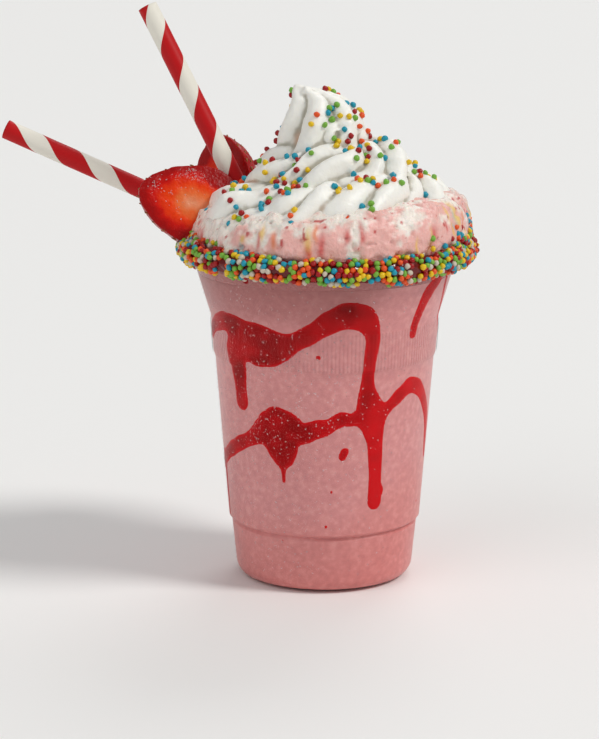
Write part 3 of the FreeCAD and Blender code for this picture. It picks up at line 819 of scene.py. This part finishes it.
chance = np.random.default_rng(52)
middles = []
for number, round_it in enumerate(BEAD_ROWS):
    radius = LIP_RING + RING_GIRTH * math.cos(round_it)
    count = int(2 * np.pi * radius / (2.02 * BEAD))
    turn = 2 * np.pi * (np.arange(count) + 0.5 * (number % 2)) / count
    turn = turn + chance.normal(0, 0.006, count)
    spots = on_ring(turn, round_it + chance.normal(0, 0.09, count),
                    (0.15 + 0.5 * chance.uniform(0, 1, count)) * BEAD)
    bare = lumpy(spots, 4.5 * MM, 61) > (0.3 if abs(round_it) < 1.0 else 0.1)
    middles.append(spots[~bare])
right_turn = chance.normal(math.radians(-14), math.radians(16), RIGHT_BEADS)
right_rise = np.abs(chance.normal(0, 1, RIGHT_BEADS)) * 4.5 * MM
middles.append(np.stack([
    (51.3 * MM - 0.15 * right_rise) * np.cos(right_turn) + FROTH_SHIFT,
    (51.3 * MM - 0.15 * right_rise) * np.sin(right_turn), 124.5 * MM + right_rise], -1))
left_turn = chance.normal(math.radians(190), math.radians(20), LEFT_BEADS)
left_rise = chance.uniform(0, 1, LEFT_BEADS) ** 1.6 * 5 * MM
left_radius = 51.5 * MM - 0.7 * left_rise
middles.append(np.stack([left_radius * np.cos(left_turn), left_radius * np.sin(left_turn),
                         123.5 * MM + left_rise], -1))
middles = np.vstack(middles)
pick = chance.choice(6, len(middles), p=[0.19, 0.17, 0.16, 0.16, 0.17, 0.15])
for number, colour in enumerate(SUGAR_COLOURS):
    lay_beads(f"lip_beads_{colour}", middles[pick == number], colour)

# ---- Sugar beads on the cream ------------------------------------------------------------
# More of the beads were thrown over the cream, where they lie singly and in small clusters.
CLUSTERS, CLUSTER_SIZES = 145, [1, 1, 1, 2, 2, 3, 4, 6]
cream_tree = BVHTree.FromPolygons(cream_points.tolist(), cream_faces.tolist())
chance = np.random.default_rng(90)
corners = cream_points[cream_faces]
lean = np.cross(corners[:, 2] - corners[:, 0], corners[:, 3] - corners[:, 1])
weight = np.clip(lean[:, 2] + 0.55 * np.linalg.norm(lean, axis=1), 0, None)
weight *= corners[:, 0, 2] > 130 * MM
seats = corners[chance.choice(len(corners), CLUSTERS, p=weight / weight.sum())].mean(1)
middles = []
for seat in seats:
    for _ in range(chance.choice(CLUSTER_SIZES)):
        spot = seat + chance.normal(0, 2.1, 3) * MM
        place, normal, _, _ = cream_tree.find_nearest(Vector(spot))
        middle = np.array(place) + 0.45 * BEAD * np.array(normal)
        if all(np.linalg.norm(middle - other) > 1.7 * BEAD for other in middles):
            middles.append(middle)
middles = np.array(middles)
pick = chance.choice(5, len(middles), p=[0.24, 0.21, 0.25, 0.14, 0.16])
for number, colour in enumerate(["blue", "yellow", "red", "orange", "green"]):
    lay_beads(f"cream_beads_{colour}", middles[pick == number], colour)

# ---- Paper straws ------------------------------------------------------------------------
# Two wide paper straws wound from red and white strip. The tall one stands in the drink and the
# low one lies over the lip; both lean left.
STRAW = 3.65 * MM
PAPER = 0.45 * MM
STRIPE_PITCH = 27.1 * MM
WHITE_SHARE = 0.445
STRAW_STEPS, ROW_LENGTH, SEAM_DEPTH = 120, 1.1, 0.07 * MM
RED_PAPER, WHITE_PAPER, INNER_PAPER = (
    tint(*shade)[:3] for shade in [(190, 6, 14), (236, 232, 220), (226, 222, 212)])
FRONT = np.array([0, -0.97, 0.25])
straw_paint, straw_shader = new_material(
    "striped_paper", Roughness=0.5, Specular_IOR_Level=0.25)
add_stain(straw_paint, straw_shader)
add_bump(straw_paint, straw_shader, add_noise(straw_paint, 0.5 * MM), 0.03 * MM)


def lay_straw(name, tip, direction, length, first_red):
    """A straw as a tube whose columns wind with its stripes; first_red is where red begins."""
    tip, direction = np.array(tip) * MM, np.array(direction) / np.linalg.norm(direction)
    right = np.cross(direction, FRONT)
    right /= np.linalg.norm(right)
    front = np.cross(right, direction)
    rows, columns = int(length / ROW_LENGTH), STRAW_STEPS
    along = np.linspace(0, length, rows) * MM
    down = np.concatenate([along, along[::-1]])[:, None]
    share = np.arange(columns) / columns
    seam = np.exp(-((share - WHITE_SHARE) / 0.012) ** 2) + np.exp(-((share - 0.985) / 0.012) ** 2)
    outside = np.arange(2 * rows)[:, None] < rows
    radius = np.where(outside, STRAW - SEAM_DEPTH * seam, STRAW - PAPER)
    angle = 2 * np.pi * (share + (down - first_red * MM) / STRIPE_PITCH)
    points = (tip - down[..., None] * direction
              + (radius * np.cos(angle))[..., None] * right
              + (radius * np.sin(angle))[..., None] * front)
    paper = np.where(share[:, None] > WHITE_SHARE, RED_PAPER, WHITE_PAPER)
    paper = np.broadcast_to(paper, (2 * rows, columns, 3)).copy()
    paper[rows:] = INNER_PAPER
    faces = grid_faces(2 * rows, columns, wrap_rows=True, wrap_columns=True)
    straw = lay_mesh(name, points.reshape(-1, 3), faces, straw_paint,
                     paper.reshape(-1, 3))
    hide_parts(name)


lay_straw("straw_tall", (-65.3, 25.9, 207.2), (-0.4509, 0.1822, 0.8738), 195, 6.0)
lay_straw("straw_low", (-120.1, 38.8, 160.5), (-0.9155, 0.0962, 0.3907), 150, 12.4)

# ---- Strawberries ------------------------------------------------------------------------
# Two halved strawberries pushed into the froth beside the straws, with the cut side to the
# front: orange flesh that is pale in the middle and red at the skin, and wet all over.
flesh_paint, flesh_shader = new_material(
    "strawberry_flesh", Roughness=0.28, IOR=1.42, Specular_IOR_Level=0.3, Subsurface_Weight=0.12,
    Subsurface_Radius=(0.003, 0.0008, 0.0004), Subsurface_Scale=1.0)
add_stain(flesh_paint, flesh_shader)
add_bump(flesh_paint, flesh_shader, add_noise(flesh_paint, 1.1 * MM, detail=4), 0.22 * MM)
seed_paint, _ = new_material("strawberry_seeds", Base_Color=tint(150, 84, 30), Roughness=0.35)
FLESH_SHADES = np.array([tint(230, 150, 112)[:3], tint(232, 112, 56)[:3], tint(234, 62, 6)[:3],
                         tint(204, 14, 2)[:3], tint(160, 3, 3)[:3]])
DOME = 1.1 * MM
BERRY_ROWS, BERRY_STEPS, SEED_ROWS = 110, 168, 13
SEED_GAP, SEED_SIZE = 3.4, np.array([0.85, 0.5, 0.32]) * MM
FRONT_TIP = np.array([-67, -4, 143.9])
seed_spots, seed_turns = [], []


def lay_berry(name, tip, axis, cut, length, width, pale_at, painted_shadow_from, chance):
    """Half a strawberry: x = L/2 (1 - cos t), r = W/2 sin t (1 - 0.28 cos t), cut face domed."""
    axis = np.array(axis) / np.linalg.norm(axis)
    side = np.cross(cut, axis)
    side /= np.linalg.norm(side)
    cut = np.cross(axis, side)
    frame = np.stack([axis, side, cut])
    rows, columns = BERRY_ROWS, BERRY_STEPS
    t = np.linspace(0.03, np.pi - 0.03, rows)[:, None]
    turn = np.linspace(0, 2 * np.pi, columns, endpoint=False)
    x = length * MM / 2 * (1 - np.cos(t)) + 0 * turn
    radius = width * MM / 2 * np.sin(t) * (1 - 0.28 * np.cos(t))
    y = radius * np.cos(turn)
    z = np.where(np.sin(turn) > 0, DOME, radius) * np.sin(turn) - DOME
    z = np.where(np.sin(turn) > 0, z, np.minimum(z, -DOME))
    points = np.stack([x, y, z], -1)
    faces = grid_faces(rows, columns, wrap_columns=True).tolist() + end_caps(rows, columns)
    cutting = (np.sin(turn) > 0) & (radius > 0)
    off_core = np.hypot((x / (length * MM) - pale_at) * 1.7, y / (width * MM / 2) * 0.95)
    rim_near = np.abs(y) / np.maximum(radius, 1e-6)
    tone = np.where(cutting, np.maximum(off_core / 0.8, eased(rim_near, 0.7, 1.02)), 1.0)
    # Painted shadow: a dark red patch across the top of the cut face, towards the berry's wide end,
    # stands for a straw's shadow.
    painted_shadow_reach = eased(x + 0.77 * (y - 7 * MM), painted_shadow_from, painted_shadow_from + 2 * MM)
    shaded = eased(y, 6 * MM, 8 * MM) * painted_shadow_reach
    tone = np.maximum(tone, 0.97 * shaded)
    tone = tone + 0.10 * lumpy(points, 3 * MM, 71) + 0.05 * lumpy(points, 1 * MM, 72)
    stops = np.array([0, 0.28, 0.5, 0.8, 1.0])
    colours = np.stack([np.interp(tone, stops, FLESH_SHADES[:, k]) for k in range(3)], -1)
    relief = 0.5 * lumpy(points, 7 * MM, 73) + 0.18 * lumpy(points, 2.4 * MM, 74)
    outward = np.stack([0 * x, np.cos(turn) + 0 * x, np.sin(turn) + 0 * x], -1)
    spots = []
    for row in range(1, SEED_ROWS):
        t_seed = np.pi * row / SEED_ROWS
        seed_radius = width / 2 * math.sin(t_seed) * (1 - 0.28 * math.cos(t_seed))
        around = max(2, int(np.pi * seed_radius / SEED_GAP))
        angles = -np.pi * (np.arange(around) + 0.5 * (row % 2) + 0.25) / around
        for angle in angles + chance.normal(0, 0.04, around):
            if angle > -np.pi:
                spots.append((length / 2 * (1 - math.cos(t_seed)), seed_radius * math.cos(angle),
                              seed_radius * math.sin(angle) - DOME / MM))
    spots = np.array(spots) * MM
    gap = np.linalg.norm(points[:, :, None] - spots[None, None], axis=-1).min(-1)
    dent = 0.55 * np.exp(-(gap / (0.95 * MM)) ** 2)
    points = points + outward * ((relief - dent) * MM)[..., None]
    placed = points.reshape(-1, 3) @ frame + np.array(tip) * MM
    berry = lay_mesh(name, placed, faces, flesh_paint, colours.reshape(-1, 3))
    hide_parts(name)
    facing = spots * np.array([0, 1, 1]) + np.array([0, 0, DOME])
    facing /= np.linalg.norm(facing, axis=1)[:, None]
    seed_spots.append((spots - 0.25 * MM * facing) @ frame + np.array(tip) * MM)
    across = np.cross(facing, np.array([1.0, 0, 0]))
    seed_turns.append(np.stack([np.tile([1.0, 0, 0], (len(spots), 1)), across, facing], 1) @ frame)
    return frame


chance = np.random.default_rng(77)
front_frame = lay_berry(
    "strawberry_front", FRONT_TIP, (0.96, 0.10, -0.27), (0.22, -0.90, 0.38),
    38, 29.8, 0.55, 23.5 * MM, chance)
lay_berry("strawberry_back", (-41.2, 33.2, 159.2), (0.12, -0.30, -0.95), (-0.60, -0.74, 0.16),
          27.5, 26.5, 0.7, 40 * MM, chance)
seed_spots, seed_turns = np.vstack(seed_spots), np.vstack(seed_turns)
seeds = (BALL * SEED_SIZE) @ seed_turns + seed_spots[:, None]
seed_faces = BALL_FACES + len(BALL) * np.arange(len(seeds))[:, None, None]
lay_mesh("strawberry_seeds", seeds.reshape(-1, 3), seed_faces.reshape(-1, 3), seed_paint)

# ---- Mist on the cup ---------------------------------------------------------------------
# The cold cup has misted over: flat little drops of water stand on it, most on the left side
# of the body, and a few wet the strawberry in front.
MIST_DROPS = 2600
STACKING_GROOVE = 21.6 * MM
# Patches of drops on the front berry: place along and up its cut face, spread of both, count.
WET_SPOTS = [(17.5, 10.2, 2.6, 1.5, 60), (21.5, 7.5, 1.6, 1.6, 24), (5.5, 3.5, 1.8, 1.6, 20),
             (14, 2, 4, 4, 26)]
chance = np.random.default_rng(101)
drop_bearing = chance.normal(-48, 48, MIST_DROPS)
drop_height = chance.uniform(6, 114, MIST_DROPS) * MM
likely = 0.35 + 0.65 * np.exp(-((drop_height / MM - 72) / 30) ** 2)
thin_out = chance.uniform(0, 1, MIST_DROPS) < likely
clear = np.abs(drop_height - STACKING_GROOVE) > 1.6 * MM
drop_bearing, drop_height = drop_bearing[thin_out & clear], drop_height[thin_out & clear]
turn = np.radians(drop_bearing - 90)
outside = np.stack([np.cos(turn), np.sin(turn), 0 * turn], -1)
sideways = np.stack([-np.sin(turn), np.cos(turn), 0 * turn], -1)
upright = np.tile([0.0, 0, 1], (len(turn), 1))
width = (0.16 + 0.16 * chance.uniform(0, 1, len(turn)) ** 2) * MM
shape = np.stack([outside * 0.22, sideways, upright], 1) * width[:, None, None]
seat = outside * side_radius(drop_height)[:, None] + upright * drop_height[:, None]
drops = BALL @ shape + seat[:, None]
berry_axis, berry_side, berry_cut = front_frame
for reach_along, rise_up, spread_along, spread_up, count in WET_SPOTS:
    x = chance.normal(reach_along, spread_along, count)
    y = np.clip(chance.normal(rise_up, spread_up, count), -12, 12.5)
    seat = FRONT_TIP + x[:, None] * berry_axis + y[:, None] * berry_side
    lift = DOME / MM * (np.sqrt(np.clip(1 - (y / 14) ** 2, 0, 1)) - 1) + 0.1
    seat = (seat + lift[:, None] * berry_cut) * MM
    girth = chance.uniform(0.14, 0.34, (count, 1, 1)) * MM
    shape = np.stack([berry_axis, berry_side, 0.7 * berry_cut]) * girth
    drops = np.concatenate([drops, BALL @ shape + seat[:, None]])
drop_faces = BALL_FACES + len(BALL) * np.arange(len(drops))[:, None, None]
water, _ = new_material(
    "water_drops", Base_Color=tint(236, 226, 226), Roughness=0.12, IOR=1.33, Alpha=0.2)
lay_mesh("cup_mist", drops.reshape(-1, 3), drop_faces.reshape(-1, 3), water)
